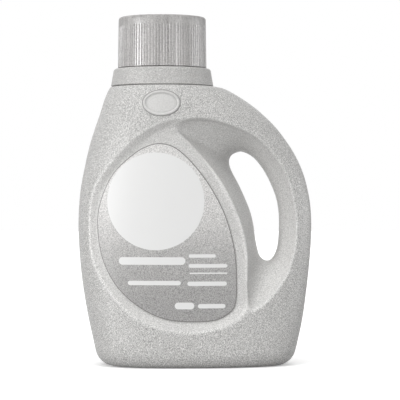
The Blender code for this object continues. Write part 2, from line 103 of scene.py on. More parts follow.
RIB_SHARPNESS = 8               # the higher, the narrower the grooves between broad ribs
CUP_SKIRT = 12.5 * MM
CUP_DRAFT = 1.2 * MM
CUP_EDGE = 0.4 * MM
CUP_FILLET = 2.5 * MM
FILL_LINE = 0.4 * MM
FILL_LINE_WIDTH = 0.8 * MM

# Threads: the drops are from the collar's top, the starts are in turns from the handle
THREAD_HEIGHT = 0.42 * MM
THREAD_WIDTH = 1.5 * MM
THREAD_ROOT = 0.25 * MM         # how deep the ridge's foot lies in the wall
THREAD_PITCH = 5.0 * MM
THREAD_TURNS = 1.25
SPOUT_THREAD_DROP, SPOUT_THREAD_START = 3.2 * MM, 0.5
CAP_THREAD_DROP, CAP_THREAD_START = 0.9 * MM, 0.25

# Label and moulded oval
LABEL_THICKNESS = 0.3 * MM
KEYLINE = 0.55 * MM
OVAL_X, OVAL_Z = -22.6 * MM, 180.2 * MM
OVAL_ACROSS, OVAL_UP = 12.6 * MM, 8.6 * MM
OVAL_RIM = 1.5 * MM
OVAL_LINE = 0.6 * MM
OVAL_RISE = 0.9 * MM
OVAL_LINE_RISE = 0.12 * MM
OVAL_FIELD_RISE = 0.08 * MM
OVAL_ROOT = 0.6 * MM            # how deep the oval's edge lies in the body

# Sizes that follow
BODY_WIDTH = REACH_LEFT + REACH_RIGHT
NECK_X = (REACH_LEFT - REACH_RIGHT) / 2
NECK_HEIGHT = COLLAR_HEIGHT - COLLAR_LAND - FIT
NECK_BORE = NECK_RADIUS - NECK_WALL
COLLAR_TOP_RADIUS = NECK_RADIUS + COLLAR_TOP_STEP
COLLAR_FOOT_RADIUS = NECK_RADIUS + COLLAR_FOOT_STEP
SHOULDER_RADIUS = COLLAR_FOOT_RADIUS + SHOULDER_LAND
CAP_RADIUS = COLLAR_TOP_RADIUS - CAP_STEP
THREAD_BORE = NECK_BORE - FIT - SPOUT_WALL
CUP_RADIUS = THREAD_BORE - THREAD_GAP
COLLAR_TOP = BODY_HEIGHT + COLLAR_HEIGHT
CAP_TOP = COLLAR_TOP + CAP_HEIGHT
GUTTER_FILLET = 2 * SPOUT_WALL

# Numbers of faces, and how the cut skin is rounded
BODY_SEGMENTS = 150
BODY_LEVELS = 84
OUTLINE_STEPS = 8
RIM_STEPS = 32                  # finer, to measure how near a point is to a rim
PANEL_RINGS = 9
RECESS_STEPS = 14
INSIDE_SEGMENTS = 48
INSIDE_LEVELS = 20
INSIDE_OUTLINE_STEPS = 2
INSIDE_PANEL_RINGS = 2
INSIDE_RECESS_STEPS = 6
LABEL_RINGS = 9
OVAL_SEGMENTS = 96
ROUND_SEGMENTS = 180
RIB_POINTS = 16
THREAD_STEPS = 150
CORNER_STEPS = 6
CRISP_ANGLE = math.radians(40)
SKIN_VOXEL = 1.15 * MM
SKIN_SMOOTHING = 3
SKIN_SMOOTHING_SHARE = 0.5

# The body's sections, as shares of its height and reach
LEFT_REACH_SHARES = (
    (1.0, 0.0), (0.967, 0.136), (0.935, 0.234), (0.899, 0.331), (0.844, 0.497),
    (0.79, 0.644), (0.718, 0.79), (0.627, 0.936), (0.519, 1.0), (0.41, 0.967),
    (0.302, 0.873), (0.193, 0.716), (0.085, 0.513), (0.0, 0.35))
RIGHT_REACH_SHARES = (
    (1.0, 0.0), (0.995, 0.085), (0.982, 0.167), (0.953, 0.306), (0.917, 0.446),
    (0.862, 0.613), (0.808, 0.735), (0.754, 0.833), (0.682, 0.923), (0.591, 0.983),
    (0.501, 1.0), (0.392, 0.985), (0.266, 0.947), (0.157, 0.902), (0.0, 0.8))
DEPTH_REACH_SHARES = (
    (1.0, 0.0), (0.985, 0.25), (0.96, 0.45), (0.92, 0.66), (0.86, 0.84), (0.75, 0.97),
    (0.6, 1.0), (0.4, 1.0), (0.2, 0.93), (0.05, 0.8), (0.0, 0.74))
MIDDLE_SHARES = ((1.0, 0.0), (0.9, 0.35), (0.75, 0.8), (0.5, 1.0), (0.0, 1.2))
SQUARENESS_SHARES = ((1.0, 2.0), (0.9, 2.1), (0.6, 2.2), (0.2, 2.4), (0.0, 2.6))
TAPER_SHARES = (
    (1.0, 0.0), (0.93, 0.12), (0.8, 0.3), (0.6, 0.38), (0.3, 0.32), (0.1, 0.2), (0.0, 0.15))

# Closed outlines seen from the front: shares of the body's width and height
HANDLE_HOLE_SHARES = (
    (0.201, 0.767), (0.246, 0.749), (0.289, 0.707), (0.326, 0.649), (0.351, 0.589),
    (0.36, 0.519), (0.354, 0.432), (0.335, 0.389), (0.315, 0.376), (0.298, 0.378),
    (0.276, 0.396), (0.261, 0.446), (0.251, 0.504), (0.233, 0.562), (0.194, 0.638),
    (0.156, 0.7), (0.147, 0.73), (0.154, 0.75), (0.171, 0.761), (0.186, 0.765))
HANDLE_RECESS_SHARES = (
    (0.183, 0.847), (0.264, 0.813), (0.337, 0.752), (0.391, 0.677), (0.421, 0.591),
    (0.432, 0.512), (0.423, 0.416), (0.383, 0.32), (0.303, 0.237), (0.233, 0.204),
    (0.218, 0.273), (0.222, 0.372), (0.209, 0.464), (0.18, 0.542), (0.121, 0.644),
    (0.043, 0.729), (-0.045, 0.806), (-0.095, 0.852), (-0.02, 0.88), (0.081, 0.875))
PANEL_SHARES = (
    (-0.062, 0.878), (0.009, 0.817), (0.051, 0.73), (0.114, 0.641), (0.177, 0.533),
    (0.211, 0.422), (0.218, 0.309), (0.218, 0.227), (0.182, 0.176), (0.102, 0.143),
    (-0.028, 0.127), (-0.15, 0.145), (-0.247, 0.18), (-0.327, 0.239), (-0.395, 0.317),
    (-0.438, 0.405), (-0.445, 0.502), (-0.433, 0.616), (-0.37, 0.704), (-0.28, 0.79),
    (-0.179, 0.85))
LABEL_SHARES = (
    (-0.134, 0.791), (-0.078, 0.775), (-0.011, 0.725), (0.067, 0.639), (0.131, 0.533),
    (0.168, 0.415), (0.176, 0.309), (0.172, 0.231), (0.146, 0.196), (0.085, 0.17),
    (-0.022, 0.165), (-0.123, 0.174), (-0.217, 0.208), (-0.296, 0.258), (-0.354, 0.32),
    (-0.396, 0.403), (-0.412, 0.511), (-0.396, 0.596), (-0.342, 0.688), (-0.254, 0.757),
    (-0.188, 0.786))
# How deep the panel's rim lies at each of its points, as shares of the panel's recess
PANEL_RIM_SHARES = (0.0, 0.9, 0.65, 0.45, 0.4, 0.4, 0.4, 0.4, 0.1) + (0.0,) * 12
RECESS_PROFILE_SHARES = (
    (0.0, 1.0), (0.08, 0.89), (0.35, 0.71), (0.62, 0.53), (0.83, 0.36), (0.94, 0.2), (1.0, 0.0))
PANEL_COVE_SHARES = (0.5, 0.56)
PANEL_RUN_SHARE = 0.85

# Sections of small forms
GUTTER_COVE_SHARES = ((0.0, 1.0), (0.3, 0.3), (1.0, 0.0))       # way in and up, of the fillet
TUBE_FOOT_SHARES = ((0.6, 0.0), (0.15, 0.15), (0.0, 0.6))       # way out and up, of the fillet
# Outside of the spout's lip: shares of its flare, of half its wall, and of the drops below its
# mouth by the lip's length and by half its wall
LIP_SHARES = (
    (0.0, 1.0, 1.0, 0.0), (0.4, 1.0, 0.4, 0.0), (1.0, 1.0, 0.0, 0.6), (1.0, 0.6, 0.0, 0.1))
CAP_DISH_SHARES = ((3.4, 1.0), (2.9, 0.7), (2.5, 0.15), (2.0, 0.0))     # way in of the edge, drop
CAP_DISH_MIDDLE_SHARE = 0.5
RIB_RUN_OUT_SHARES = ((0.0, 0.0), (0.35, 0.4), (1.0, 1.0))      # way down and depth
FILL_LINE_SHARES = (0.36, 0.62)
THREAD_CREST_SHARE = 0.4
THREAD_FADE_SHARE = 0.125
OVAL_RIM_SHARES = ((0.25, 1.0), (0.75, 1.0), (1.0, 0.6))        # way in and rise
OVAL_FIELD_START_SHARE = 1.3
OVAL_FIELD_SHARES = (1.0, 0.75, 0.5, 0.25)

# Print on the label: a plain disc and plain bars, as middle X, middle Z and half sizes
DISC = (-26.6 * MM, 113.6 * MM, 33.1 * MM)
BARS = (
    (-29.0 * MM, 73.2 * MM, 22.6 * MM, 2.6 * MM),
    (5.0 * MM, 76.6 * MM, 9.2 * MM, 1.2 * MM),
    (8.9 * MM, 69.9 * MM, 13.1 * MM, 1.3 * MM),
    (9.2 * MM, 64.9 * MM, 12.8 * MM, 0.45 * MM),
    (-27.5 * MM, 58.3 * MM, 18.0 * MM, 1.5 * MM),
    (8.3 * MM, 57.8 * MM, 13.4 * MM, 1.5 * MM),
    (-7.0 * MM, 42.8 * MM, 6.6 * MM, 2.3 * MM),
    (11.4 * MM, 42.6 * MM, 9.3 * MM, 1.5 * MM))
PRINT_EDGE = 0.12 * MM          # half the width over which a printed edge fades
INK = (0.785, 0.785, 0.78, 1)
# Grey of the film by height in the label, from its foot up, and its slightly warm tint
FILM_GREYS = ((0.0, 0.345), (0.16, 0.36), (0.39, 0.43), (0.56, 0.61), (0.74, 0.66), (1.0, 0.67))
FILM_TINT = (1, 0.985, 0.97)
FILM_GRAIN_SCALE, FILM_GRAIN = 1700, 0.34
FILM_SHEEN_SCALE, FILM_ROUGHNESS = 1400, (0.42, 0.52)
FILM_RELIEF_SCALE, FILM_RELIEF = 1300, 0.012 * MM
FILM_GLOSS = 0.15

# Plastics and inks, as moulded_plastic takes them
PLASTICS = {
    'body_plastic': dict(colour=(0.525, 0.52, 0.51), roughness=0.46, grain=0.05 * MM,
                         speckle=0.50, fineness=2300, gloss=0.18, relief=True),
    'oval_plastic': dict(colour=(0.60, 0.595, 0.585), roughness=0.35, grain=0.008 * MM,
                         speckle=0.06, hollow_shade=0.4),
    # Colour of the dark line round the oval's foot
    'dark_oval_line': dict(colour=(0.30, 0.295, 0.29), roughness=0.45, grain=0.008 * MM, speckle=0.06),
    'fitment_plastic': dict(colour=(0.49, 0.485, 0.475), roughness=0.40, grain=0.008 * MM,
                            speckle=0.34, fineness=2300, gloss=0.2),
    'cap_plastic': dict(colour=(0.385, 0.375, 0.37), roughness=0.28, grain=0.006 * MM,
                        speckle=0.34, fineness=2300, gloss=0.35, hollow_shade=0.35, streaks=0.14,
                        dull_above=CAP_TOP - CAP_BAND),
    'keyline_ink': dict(colour=(0.20, 0.195, 0.19), roughness=0.5, grain=0.004 * MM,
                        speckle=0.03)}

# What the plastics share. Nearly all values of a noise texture lie within its spread.
NOISE_SPREAD = (0.3, 0.7)
GRAIN_SPREAD = (0.25, 0.75)
GRAIN_SMOOTHER, GRAIN_ROUGHER = 0.05, 0.07      # roughness taken off and added by the grain
FLECK_SCALE_SHARE = 0.8
CLOUD_SCALE, CLOUD_TONE = 28, 0.02
STREAK_SCALE, STREAK_SQUEEZE = 420, (1, 1, 0.02)
SEAM_WIDTH, SEAM_RISE = 0.45 * MM, 0.12 * MM
DULL_ROUGHNESS = 0.16           # added above a height
# The darkening of the hollows below is painted shade
HOLLOW_BEND = (0.44, 0.485)     # pointiness where a hollow is complete and where it ends
# Painted highlight along the body's rims and painted light on its recessed walls
RIM_LINE = 1.9 * MM
RIM_HIGHLIGHT = 0.26
SUNK_PAINTED_LIGHT = 0.125
SUNK_GRAIN = 0.6                # how strong the speckle is there
# Where a wall begins and is fully sunk, as shares of the way from the surface to the middle
SUNK_SHARES = (0.006, 0.03)

# Light: a sun's direction, strength and spread, and a strip's place, size and power
SUNS = (
    ('key', (0.46, 0.87, -0.15), 1.97, math.radians(40)),
    ('top', (0.05, 0.30, -1.0), 1.15, math.radians(40)),
    ('back_fill', (-0.25, -0.95, -0.15), 0.7, math.radians(60)))
STRIPS = (
    ('left_strip', (-1.15, -0.62, 0.17), (0.48, 0.46), 31.0),
    ('right_strip', (0.82, -0.96, 0.17), (0.08, 0.46), 10.0),
    ('side_panel', (1.35, 0.2, 0.17), (0.7, 0.46), 15.0))
WORLD_SHADE = 0.45              # strength of the world where the camera doesn't see it
FLOOR_REACH = 6.0
FLOOR_SHADE = (0.5, 0.5, 0.5, 1)
FLOOR_GLOW = 0.32               # added to what the camera sees of the floor, so that it is white
WHITE = (1, 1, 1, 1)

# Camera, level with the middle of the bottle
CAMERA_LENS, CAMERA_SENSOR = 181, 36
CAMERA_PLACE = (0.0035, -1.4, 0.1145)


def eased(share):
    """Share from 0 to 1 with a soft start and end."""
    return share * share * (3 - 2 * share)


def smooth_value(table, place):
    """Value of a table of (place, value) pairs on a smooth curve through its points."""
    points = sorted(table)
    index = 0
    while index < len(points) - 2 and place > points[index + 1][0]:
        index += 1

    def slope(at):
        low = points[max(at - 1, 0)]
        high = points[min(at + 1, len(points) - 1)]
        return (high[1] - low[1]) / (high[0] - low[0])

    (start, first), (end, last) = points[index], points[index + 1]
    run = end - start
    t = (place - start) / run
    return (first * (1 + 2 * t) * (1 - t) ** 2 + last * t * t * (3 - 2 * t)
            + run * t * (1 - t) * ((1 - t) * slope(index) - t * slope(index + 1)))


def closed_curve(points, steps):
    """Smooth closed curve through points, with a number of steps from each to the next."""
    curve = []
    count = len(points)
    for index, point in enumerate(points):
        before, after = points[index - 1], points[(index + 1) % count]
        beyond = points[(index + 2) % count]
        for step in range(steps):
            t = step / steps
            bend = 2 * before - 5 * point + 4 * after - beyond
            twist = 3 * point - before - 3 * after + beyond
            curve.append(point + ((after - before) * t + bend * t * t + twist * t ** 3) / 2)
    return curve


def outline(shares, steps):
    """Closed outline seen from the front, from a table of shares."""
    corners = [Vector((across * BODY_WIDTH, 0, up * BODY_HEIGHT)) for across, up in shares]
    return closed_curve(corners, steps)


def section(height):
    """Reaches left and right of the deepest line, half depth, that line's place, and the
    squareness and taper of the body's section at a height."""
    share = min(max(height / BODY_HEIGHT, 0), 1)
    middle = MIDDLE_SHIFT * smooth_value(MIDDLE_SHARES, share)
    left, right, deep = (
        SHOULDER_RADIUS + (reach - SHOULDER_RADIUS) * smooth_value(table, share)
        for reach, table in ((REACH_LEFT, LEFT_REACH_SHARES), (REACH_RIGHT, RIGHT_REACH_SHARES),
                             (BODY_DEPTH / 2, DEPTH_REACH_SHARES)))
    squareness = smooth_value(SQUARENESS_SHARES, share)
    taper = smooth_value(TAPER_SHARES, share)
    return left + middle, right - middle, deep, NECK_X + middle, squareness, taper


def section_loop(height, inset, segments):
    """One level ring of the body, drawn in from its sides by inset."""
    left, right, deep, middle, squareness, taper = section(height)
    loop = []
    for index in range(segments):
        turn = 2 * math.pi * index / segments
        across = math.copysign(abs(math.cos(turn)) ** (2 / squareness), math.cos(turn))
        deepness = math.copysign(abs(math.sin(turn)) ** (2 / squareness), math.sin(turn))
        reach = right if across > 0 else left
        narrowing = 1 - taper * max(across, 0) ** 2
        loop.append(Vector((middle + (reach - inset) * across,
                            (deep - inset) * deepness * narrowing, height)))
    return loop


def half_depth(x, z):
    """Distance of the body's surface from the mid-plane at a point seen from the front."""
    left, right, deep, middle, squareness, taper = section(z)
    share = min(abs(x - middle) / (right if x > middle else left), 1)
    narrowing = 1 - taper * share ** 2 if x > middle else 1
    return deep * (1 - share ** squareness) ** (1 / squareness) * narrowing


def body_loops(segments, levels):
    """Level rings of the body from the hollow of the base up to the shoulder."""
    loops = []
    for height, inset in ((PUSH_UP, BASE_RADIUS + STANDING_RING + PUSH_UP_RUN),
                          (0, BASE_RADIUS + STANDING_RING)):
        loops.append(section_loop(height, inset, segments))
    for step in range(CORNER_STEPS):
        turn = math.pi / 2 * step / CORNER_STEPS
        height = BASE_RADIUS * (1 - math.cos(turn))
        loops.append(section_loop(height, BASE_RADIUS * (1 - math.sin(turn)), segments))
    for level in range(levels):
        share = 1 - (1 - level / (levels - 1)) ** LEVEL_CROWDING
        height = BASE_RADIUS + (BODY_HEIGHT - BASE_RADIUS) * share
        loops.append(section_loop(height, 0, segments))
    return loops


def offset_loops(loops, distance):
    """The same rings, moved along the normals of the surface that they make."""
    moved = []
    for row, loop in enumerate(loops):
        before = loops[max(row - 1, 0)]
        after = loops[min(row + 1, len(loops) - 1)]
        ring = []
        for index, point in enumerate(loop):
            along = loop[(index + 1) % len(loop)] - loop[index - 1]
            normal = along.cross(after[index] - before[index]).normalized()
            ring.append(point + normal * distance)
        moved.append(ring)
    return moved


def round_neck(radius, turn, height):
    """Point at a radius and a turn round the neck axis."""
    return Vector((NECK_X + radius * math.cos(turn), radius * math.sin(turn), height))


def ring_at(radius, height, segments):
    """Level circle round the neck axis."""
    return [round_neck(radius, 2 * math.pi * index / segments, height)
            for index in range(segments)]


def on_panel(point, lift):
    """The point moved straight to the panel's floor, or to a lift above it."""
    return Vector((point.x, PANEL_RECESS - lift - half_depth(point.x, point.z), point.z))


def shrunk_loops(loop, lift, count):
    """Smaller rings on the panel inside a ring."""
    middle = sum(loop, Vector()) / len(loop)
    shares = [1 - (index + 1) / (count + 1) for index in range(count)]
    return [[on_panel(middle + (point - middle) * share, lift) for point in loop]
            for share in shares]


def rim_curve(shares, sink_shares, steps):
    """Closed curve on the body's front through the points of an outline, each as deep under
    the surface as its share of the panel's recess says."""
    corners = []
    for (across, up), sink in zip(shares, sink_shares):
        x, z = across * BODY_WIDTH, up * BODY_HEIGHT
        corners.append(Vector((x, sink * PANEL_RECESS - half_depth(x, z), z)))
    return closed_curve(corners, steps)


def panel_loops(steps, count):
    """Rings of the cutter for the front label panel, from outside the body inwards."""
    rim = rim_curve(PANEL_SHARES, PANEL_RIM_SHARES, steps)
    floor = []
    for edge, inner in zip(rim, outline(LABEL_SHARES, steps)):
        flat = Vector((inner.x - edge.x, 0, inner.z - edge.z))
        run = min(PANEL_WALL_RUN, flat.length * PANEL_RUN_SHARE)
        floor.append(on_panel(edge + flat.normalized() * run, 0))
    run_share, depth_share = PANEL_COVE_SHARES
    cove = [edge + Vector(((foot.x - edge.x) * run_share, (foot.y - edge.y) * depth_share,
                           (foot.z - edge.z) * run_share)) for edge, foot in zip(rim, floor)]
    flared = [edge + (edge - foot).normalized() * OVERRUN for edge, foot in zip(rim, cove)]
    outside = [Vector((point.x, -BODY_DEPTH / 2 - OVERRUN, point.z)) for point in flared]
    return [outside, flared, rim, cove, floor] + shrunk_loops(floor, 0, count)


def recess_loops(steps, rings):
    """Rings of the cutter for the handle: a spool that is narrowest at the mid-plane."""
    rim = outline(HANDLE_RECESS_SHARES, steps)
    hole = outline(HANDLE_HOLE_SHARES, steps)
    front = []
    for ring in range(rings + 1):
        way_in = ring / rings
        depth_share = smooth_value(RECESS_PROFILE_SHARES, way_in)
        front.append([Vector((edge.x + (inner.x - edge.x) * way_in,
                              -half_depth(edge.x, edge.z) * depth_share,
                              edge.z + (inner.z - edge.z) * way_in))
                      for edge, inner in zip(rim, hole)])
    flared = []
    for edge, inner in zip(front[0], front[1]):
        flared.append(edge + (edge - inner).normalized() * OVERRUN)
    outside = [Vector((point.x, -BODY_DEPTH / 2 - OVERRUN, point.z)) for point in flared]
    front = [outside, flared] + front
    return front + mirrored(reversed(front[:-1]))


def mirrored(loops):
    """The same rings on the other side of the mid-plane."""
    return [[Vector((point.x, -point.y, point.z)) for point in loop] for loop in loops]


def skin(bm, loops):
    """Faces between rings, each of which has as many points as the next, or a multiple."""
    rows = [[bm.verts.new(point) for point in loop] for loop in loops]
    for low, high in zip(rows, rows[1:]):
        count = min(len(low), len(high))
        low_step, high_step = len(low) // count, len(high) // count
        for index in range(count):
            lower = [low[(index * low_step + step) % len(low)] for step in range(low_step + 1)]
            upper = [high[(index * high_step + step) % len(high)] for step in range(high_step + 1)]
            bm.faces.new(lower + upper[::-1])
    return rows


def new_object(name, bm, materials):
    """Object from a bmesh, with its faces pointing out."""
    bmesh.ops.recalc_face_normals(bm, faces=bm.faces)
    mesh = bpy.data.meshes.new(name)
    bm.to_mesh(mesh)
    bm.free()
    mesh.shade_smooth()
    mesh.set_sharp_from_angle(angle=CRISP_ANGLE)
    for material in materials:
        mesh.materials.append(material)
    obj = bpy.data.objects.new(name, mesh)
    bpy.context.scene.collection.objects.link(obj)
    return obj


def closed_form(name, loops, materials):
    """Solid skinned over rings, with its first and last ring filled."""
    bm = bmesh.new()
    rows = skin(bm, loops)
    bm.faces.new(rows[0])
    bm.faces.new(rows[-1])
    return new_object(name, bm, materials)


def cut(target, *tools):
    """Boolean differences; apply_modifiers removes the cutters."""
    for tool in tools:
        modifier = target.modifiers.new(tool.name, 'BOOLEAN')
        modifier.operation = 'DIFFERENCE'
        modifier.solver = 'EXACT'
        modifier.object = tool


def apply_modifiers(obj, *tools):
    """Bakes the object's modifiers into its mesh and removes the cutters."""
    graph = bpy.context.evaluated_depsgraph_get()
    mesh = bpy.data.meshes.new_from_object(obj.evaluated_get(graph))
    obj.modifiers.clear()
    obj.data = mesh
    for tool in tools:
        bpy.data.objects.remove(tool, do_unlink=True)


class Nodes:
    """Short way to write a material's node tree."""

    def __init__(self, name):
        self.material = bpy.data.materials.new(name)
        self.material.use_nodes = True
        self.tree = self.material.node_tree
        self.shader = self.tree.nodes['Principled BSDF']

    def add(self, kind, **settings):
        node = self.tree.nodes.new(kind)
        for name, value in settings.items():
            setattr(node, name, value)
        return node

    def link(self, source, target):
        self.tree.links.new(source, target)

    def math(self, operation, first, second=None):
        node = self.add('ShaderNodeMath', operation=operation)
        for socket, value in zip(node.inputs, (first, second)):
            self.put(socket, value)
        return node.outputs[0]

    def put(self, socket, value):
        """Gives an input its value, which may be another node's output."""
        if isinstance(value, bpy.types.NodeSocket):
            self.link(value, socket)
        elif value is not None:
            socket.default_value = value

    def place(self):
        """Object coordinates, which are the frame's."""
        return self.add('ShaderNodeTexCoord').outputs['Object']

    def along(self, axis):
        """Object coordinate along 'X', 'Y' or 'Z'."""
        split = self.add('ShaderNodeSeparateXYZ')
        self.link(self.place(), split.inputs[0])
        return split.outputs[axis]

    def noise(self, scale, detail=2, squeeze=None):
        """Noise in the frame's space, which squeeze draws out along an axis."""
        place = self.place()
        if squeeze:
            mapping = self.add('ShaderNodeMapping')
            mapping.inputs['Scale'].default_value = squeeze
            self.link(place, mapping.inputs['Vector'])
            place = mapping.outputs[0]
        node = self.add('ShaderNodeTexNoise')
        node.inputs['Scale'].default_value = scale
        node.inputs['Detail'].default_value = detail
        self.link(place, node.inputs['Vector'])
        return node.outputs['Fac']

    def ramp(self, value, low, high, start=0, end=1, kind='SMOOTHSTEP'):
        """start where the value is low, end where it is high."""
        node = self.add('ShaderNodeMapRange', interpolation_type=kind)
        self.put(node.inputs['Value'], value)
        limits = {'From Min': low, 'From Max': high, 'To Min': start, 'To Max': end}
        for name, number in limits.items():
            node.inputs[name].default_value = number
        return node.outputs['Result']

    def spread(self, noise, start, end):
        """The values of a noise texture, spread from start to end."""
        return self.ramp(noise, *NOISE_SPREAD, start, end)

    def scaled_colour(self, colour, factor):
        """The colour times a factor that a socket gives."""
        node = self.add('ShaderNodeVectorMath', operation='SCALE')
        self.put(node.inputs[0], colour)
        self.put(node.inputs['Scale'], factor)
        return node.outputs[0]

    def mix(self, factor, first, second):
        node = self.add('ShaderNodeMix', data_type='RGBA')
        self.put(node.inputs['Factor'], factor)
        self.put(node.inputs[6], first)
        self.put(node.inputs[7], second)
        return node.outputs[2]

    def bump(self, height, distance, under=None):
        """Normals of a relief as high as distance, laid over those of another one."""
        node = self.add('ShaderNodeBump')
        self.put(node.inputs['Height'], height)
        node.inputs['Distance'].default_value = distance
        node.inputs['Strength'].default_value = 1
        if under:
            self.link(under, node.inputs['Normal'])
        return node.outputs[0]


def moulded_plastic(name, colour, roughness, grain, speckle, fineness=1500, gloss=0.3,
                    relief=False, hollow_shade=0.0, streaks=0.0, dull_above=None):
    """Plastic with grain in its surface, fine speckle and faint clouding. relief is for the
    body: it adds a painted highlight along the rims, painted light on the recessed walls,
    and the seam. hollow is how much painted shade darkens the hollows, streaks how strong
    the upright streaks are, and dull_above a height above which the surface is duller."""
    nodes = Nodes(name)
    shader = nodes.shader
    fine = nodes.noise(fineness, detail=3)
    normal = nodes.bump(fine, grain)
    flecks = nodes.spread(nodes.noise(fineness * FLECK_SCALE_SHARE), -speckle, speckle)
    tone = nodes.spread(nodes.noise(CLOUD_SCALE, detail=3), 1 - CLOUD_TONE, 1 + CLOUD_TONE)
    # Painted highlight near the rims and painted light on the sunk walls, where the speckle is also
    # weaker
    if relief:
        rim, sunk = (nodes.add('ShaderNodeAttribute', attribute_name=mark).outputs['Fac']
                     for mark in ('rim', 'sunk'))
        for mark, gain in ((rim, RIM_HIGHLIGHT), (sunk, SUNK_PAINTED_LIGHT)):
            tone = nodes.math('ADD', tone, nodes.math('MULTIPLY', mark, gain))
        flecks = nodes.math('MULTIPLY', flecks, nodes.ramp(sunk, 0, 1, 1, SUNK_GRAIN))
        seam = nodes.ramp(nodes.math('ABSOLUTE', nodes.along('Y')), 0, SEAM_WIDTH, 1, 0)
        normal = nodes.bump(seam, SEAM_RISE, under=normal)
    tone = nodes.math('ADD', tone, flecks)
    # Painted shade: the hollows, where pointiness is low, are darkened
    if hollow_shade:
        bend = nodes.add('ShaderNodeNewGeometry').outputs['Pointiness']
        tone = nodes.math('SUBTRACT', tone, nodes.ramp(bend, *HOLLOW_BEND, hollow_shade, 0))
    if streaks:
        upright = nodes.noise(STREAK_SCALE, squeeze=STREAK_SQUEEZE)
        tone = nodes.math('ADD', tone, nodes.spread(upright, -streaks, streaks))
    rough = nodes.ramp(fine, *GRAIN_SPREAD, roughness - GRAIN_SMOOTHER, roughness + GRAIN_ROUGHER)
    if dull_above:
        dull = nodes.ramp(nodes.along('Z'), dull_above - MM, dull_above + MM, 0, DULL_ROUGHNESS)
        rough = nodes.math('ADD', rough, dull)
    nodes.link(nodes.scaled_colour(colour, tone), shader.inputs['Base Color'])
    nodes.link(rough, shader.inputs['Roughness'])
    nodes.link(normal, shader.inputs['Normal'])
    shader.inputs['Specular IOR Level'].default_value = gloss
    return nodes.material


def label_film():
    """Satin film: grey that lightens upwards, a plain disc and plain bars in pale ink."""
    nodes = Nodes('label_film')
    low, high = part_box('front_label')
    x, z = nodes.along('X'), nodes.along('Z')
    ramp = nodes.add('ShaderNodeValToRGB')
    ramp.color_ramp.interpolation = 'B_SPLINE'
    steps = ramp.color_ramp.elements
    for index, (share, grey) in enumerate(FILM_GREYS):
        step = steps[index] if index < 2 else steps.new(share)
        step.position = share
        step.color = [grey * tint for tint in FILM_TINT] + [1]
    nodes.link(nodes.ramp(z, low.z, high.z, kind='LINEAR'), ramp.inputs[0])
    grain = nodes.spread(nodes.noise(FILM_GRAIN_SCALE), 1 - FILM_GRAIN, 1 + FILM_GRAIN)
    film = nodes.scaled_colour(ramp.outputs[0], grain)

    middle_x, middle_z, radius = DISC
    ink = bar_mask(nodes, x, z, (middle_x, middle_z, radius, radius))
    for bar in BARS:
        ink = nodes.math('MAXIMUM', ink, bar_mask(nodes, x, z, bar))
    rough = nodes.spread(nodes.noise(FILM_SHEEN_SCALE), *FILM_ROUGHNESS)
    nodes.link(nodes.mix(ink, film, INK), nodes.shader.inputs['Base Color'])
    nodes.link(rough, nodes.shader.inputs['Roughness'])
    normal = nodes.bump(nodes.noise(FILM_RELIEF_SCALE), FILM_RELIEF)
    nodes.link(normal, nodes.shader.inputs['Normal'])
    nodes.shader.inputs['Specular IOR Level'].default_value = FILM_GLOSS
    return nodes.material


def bar_mask(nodes, x, z, bar):
    """1 inside a bar with round ends, 0 outside it. A bar as high as it is long is a disc."""
    middle_x, middle_z, half_across, half_up = bar
    across = nodes.math('ABSOLUTE', nodes.math('SUBTRACT', x, middle_x))
    across = nodes.math('MAXIMUM', nodes.math('SUBTRACT', across, half_across - half_up), 0.0)
    up = nodes.math('SUBTRACT', z, middle_z)
    away = nodes.math('SQRT', nodes.math('ADD', nodes.math('MULTIPLY', across, across),
                                         nodes.math('MULTIPLY', up, up)))
    return nodes.ramp(away, half_up - PRINT_EDGE, half_up + PRINT_EDGE, 1, 0)


def mark_relief(bottle):
    """Stores at each point of the bottle how near it is to a rim and how deep it is sunk: the masks
    of the painted rim highlight and of the painted light on the sunk walls.
    """
    flush = (0,) * len(HANDLE_RECESS_SHARES)
    rims = (rim_curve(PANEL_SHARES, PANEL_RIM_SHARES, RIM_STEPS)
            + rim_curve(HANDLE_RECESS_SHARES, flush, RIM_STEPS))
    tree = KDTree(len(rims))
    for index, point in enumerate(rims):
        tree.insert(point, index)
    tree.balance()
    rim_marks, sunk_marks = [], []
    for vertex in bottle.data.vertices:
        x, y, z = vertex.co
        away = tree.find(Vector((x, -abs(y), z)))[2]
        rim_marks.append(eased(max(0, 1 - away / RIM_LINE)))
        sunk_marks.append(sunk_share(x, y, z))
    for name, marks in (('rim', rim_marks), ('sunk', sunk_marks)):
        attribute = bottle.data.attributes.new(name, 'FLOAT', 'POINT')
        attribute.data.foreach_set('value', marks)


def sunk_share(x, y, z):
    """0 on the body's uncut surface, 1 on a wall that a panel or the handle has cut into it."""
    if not BASE_RADIUS + OVERRUN < z < BODY_HEIGHT - OVERRUN:
        return 0
    left, right, deep, middle, squareness, taper = section(z)
    across = abs(x - middle) / (right if x > middle else left)
    narrowing = 1 - taper * min(across, 1) ** 2 if x > middle else 1
    reach = (across ** squareness + (abs(y) / deep / narrowing) ** squareness) ** (1 / squareness)
    low, high = SUNK_SHARES
    return eased(min(max((1 - reach - low) / (high - low), 0), 1))


